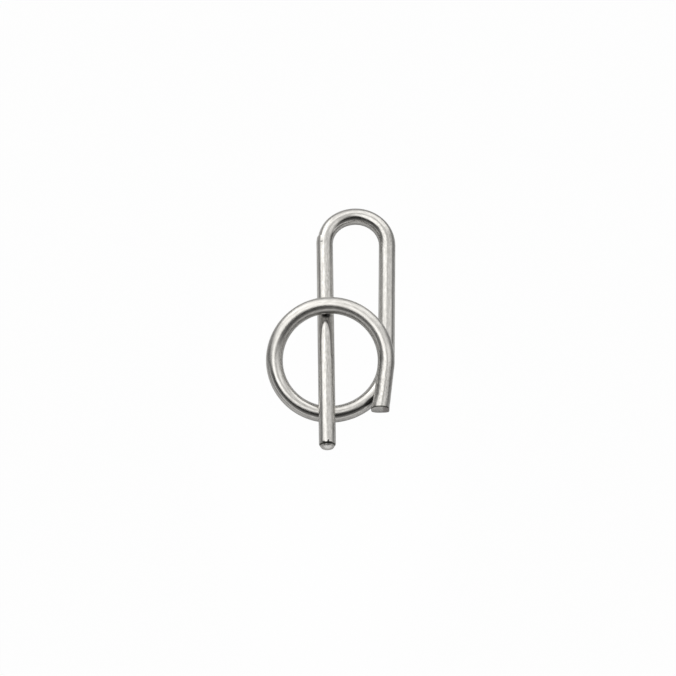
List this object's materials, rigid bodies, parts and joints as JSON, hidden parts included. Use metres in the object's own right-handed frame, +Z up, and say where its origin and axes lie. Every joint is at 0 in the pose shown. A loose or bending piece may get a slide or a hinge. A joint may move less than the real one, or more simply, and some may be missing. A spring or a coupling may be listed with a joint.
{
  "type": "brake pad retaining clip",
  "caption": "Spring wire clip with a long pin leg threaded through its own round ring, a narrow U-bend and a short stub, to lock a brake pad pin.",
  "frame": {"origin": "on the surface that the clip lies on, under the middle of its outline", "axes": "+Y along the legs towards the U-bend, +X towards the return leg and the stub, +Z up to the side that is seen"},
  "size_m": [0.0154, 0.0318, 0.0055],
  "materials": {
    "steel_wire": "bright drawn wire with a fine lengthwise grain"
  },
  "bodies": {
    "root": {"clip": "steel_wire"}
  },
  "joints": []
}
